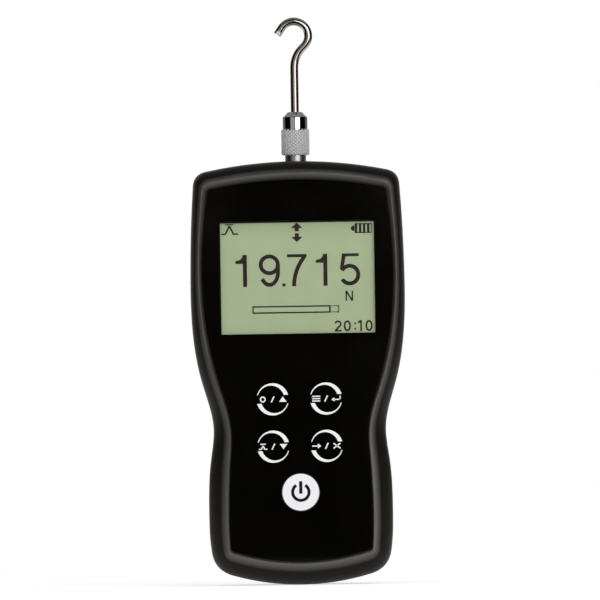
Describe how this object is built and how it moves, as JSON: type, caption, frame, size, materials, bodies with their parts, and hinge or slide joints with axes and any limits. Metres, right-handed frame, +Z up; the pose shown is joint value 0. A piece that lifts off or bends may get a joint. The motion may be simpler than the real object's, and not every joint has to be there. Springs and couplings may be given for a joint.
{
  "type": "digital force gauge",
  "caption": "Handheld digital force gauge: waisted case with a display, five keys and a sliding battery door, and a chromed hook screwed to the load cell's spindle.",
  "frame": {"origin": "middle of the four threaded stand-mount holes, on the flat back of the case", "axes": "+Z up along the pull axis, from the battery door towards the hook; +Y out of the case's back; -Y out of the display; +X to the right as the display is read"},
  "size_m": [0.074, 0.036, 0.1958],
  "materials": {
    "front_housing_abs": "fine spark-eroded texture, satin black",
    "rear_housing_abs": "fine spark-eroded texture, satin black",
    "battery_door_abs": "fine spark-eroded texture, satin black",
    "overlay_gloss": "polished, back-printed black",
    "window_clear": "clear acrylic",
    "lcd_bezel_steel": "tin-plated sheet",
    "lcd_glass": "grey-green transflective cell under a satin polariser",
    "backlight_acrylic": "frosted light guide",
    "board_fr4": "green solder mask",
    "zinc_steel": "zinc plated",
    "switch_nylon": "moulded",
    "key_gloss": "polished black",
    "power_key_white": "polished white",
    "plunger_nylon": "moulded",
    "socket_nylon": "moulded",
    "black_steel": "black oxide",
    "cell_jacket": "printed film sleeve, plain",
    "nickel_steel": "nickel plated spring strip",
    "plate_aluminium": "milled, clear anodised",
    "standoff_brass": "turned, bright",
    "load_cell_aluminium": "milled",
    "spindle_steel": "ground and polished",
    "bush_acetal": "turned",
    "ferrule_chrome": "chrome plated, knurled band",
    "hook_chrome": "chrome plated, polished"
  },
  "bodies": {
    "case": {"front_housing": "front_housing_abs", "rear_housing": "rear_housing_abs", "front_overlay": "overlay_gloss", "display_window": "window_clear", "lcd_bezel": "lcd_bezel_steel", "lcd_glass": "lcd_glass", "lcd_backlight": "backlight_acrylic", "main_board": "board_fr4", "board_screws": "zinc_steel", "tact_switches": "switch_nylon", "data_socket": "socket_nylon", "power_socket": "socket_nylon", "case_screws": "black_steel", "battery_cells": "cell_jacket", "battery_contacts": "nickel_steel", "chassis_plate": "plate_aluminium", "mount_standoffs": "standoff_brass", "plate_screws": "zinc_steel", "chassis_screws": "black_steel", "load_cell_bracket": "plate_aluminium", "load_cell_bolt": "black_steel", "load_cell": "load_cell_aluminium", "overload_stop": "plate_aluminium", "spindle_bush": "bush_acetal"},
    "battery_door": {"battery_door": "battery_door_abs"},
    "zero_key": {"zero_key": "key_gloss", "zero_plunger": "plunger_nylon"},
    "menu_key": {"menu_key": "key_gloss", "menu_plunger": "plunger_nylon"},
    "peak_key": {"peak_key": "key_gloss", "peak_plunger": "plunger_nylon"},
    "send_key": {"send_key": "key_gloss", "send_plunger": "plunger_nylon"},
    "power_key": {"power_key": "power_key_white", "power_plunger": "plunger_nylon"},
    "spindle": {"spindle": "spindle_steel", "spindle_lock_nut": "zinc_steel"},
    "swivel_washer": {"swivel_washer": "zinc_steel"},
    "ferrule": {"hook_ferrule": "ferrule_chrome"},
    "hook": {"hook": "hook_chrome", "hook_nut": "standoff_brass"}
  },
  "joints": [
    {"name": "zero_key_press", "type": "slide", "parent": "case", "child": "zero_key", "axis": [0, 1, 0], "range_m": [0, 0.0004], "stiffness_N_per_m": 5000},
    {"name": "menu_key_press", "type": "slide", "parent": "case", "child": "menu_key", "axis": [0, 1, 0], "range_m": [0, 0.0004], "stiffness_N_per_m": 5000},
    {"name": "peak_key_press", "type": "slide", "parent": "case", "child": "peak_key", "axis": [0, 1, 0], "range_m": [0, 0.0004], "stiffness_N_per_m": 5000},
    {"name": "send_key_press", "type": "slide", "parent": "case", "child": "send_key", "axis": [0, 1, 0], "range_m": [0, 0.0004], "stiffness_N_per_m": 5000},
    {"name": "power_key_press", "type": "slide", "parent": "case", "child": "power_key", "axis": [0, 1, 0], "range_m": [0, 0.0004], "stiffness_N_per_m": 5000},
    {"name": "spindle_pull", "type": "slide", "parent": "case", "child": "spindle", "axis": [0, 0, 1], "range_m": [-0.00025, 0.00025], "stiffness_N_per_m": 800000, "deforming": ["load_cell"]},
    {"name": "ferrule_lift", "type": "slide", "parent": "spindle", "child": "swivel_washer", "axis": [0, 0, 1], "range_m": [0, 0.006]},
    {"name": "ferrule_turn", "type": "hinge", "parent": "swivel_washer", "child": "ferrule", "pos_m": [0, -0.016, 0.0462], "axis": [0, 0, 1], "range_deg": [0, 2150]},
    {"name": "hook_swivel", "type": "hinge", "parent": "swivel_washer", "child": "hook", "pos_m": [0, -0.016, 0.058], "axis": [0, 0, 1], "continuous": true},
    {"name": "battery_door_slide", "type": "slide", "parent": "case", "child": "battery_door", "axis": [0, 0, -1], "range_m": [0, 0.05]}
  ],
  "couplings": [
    {"joint": "ferrule_lift", "follows": "ferrule_turn", "m_per_rad": 0.00015915}
  ]
}
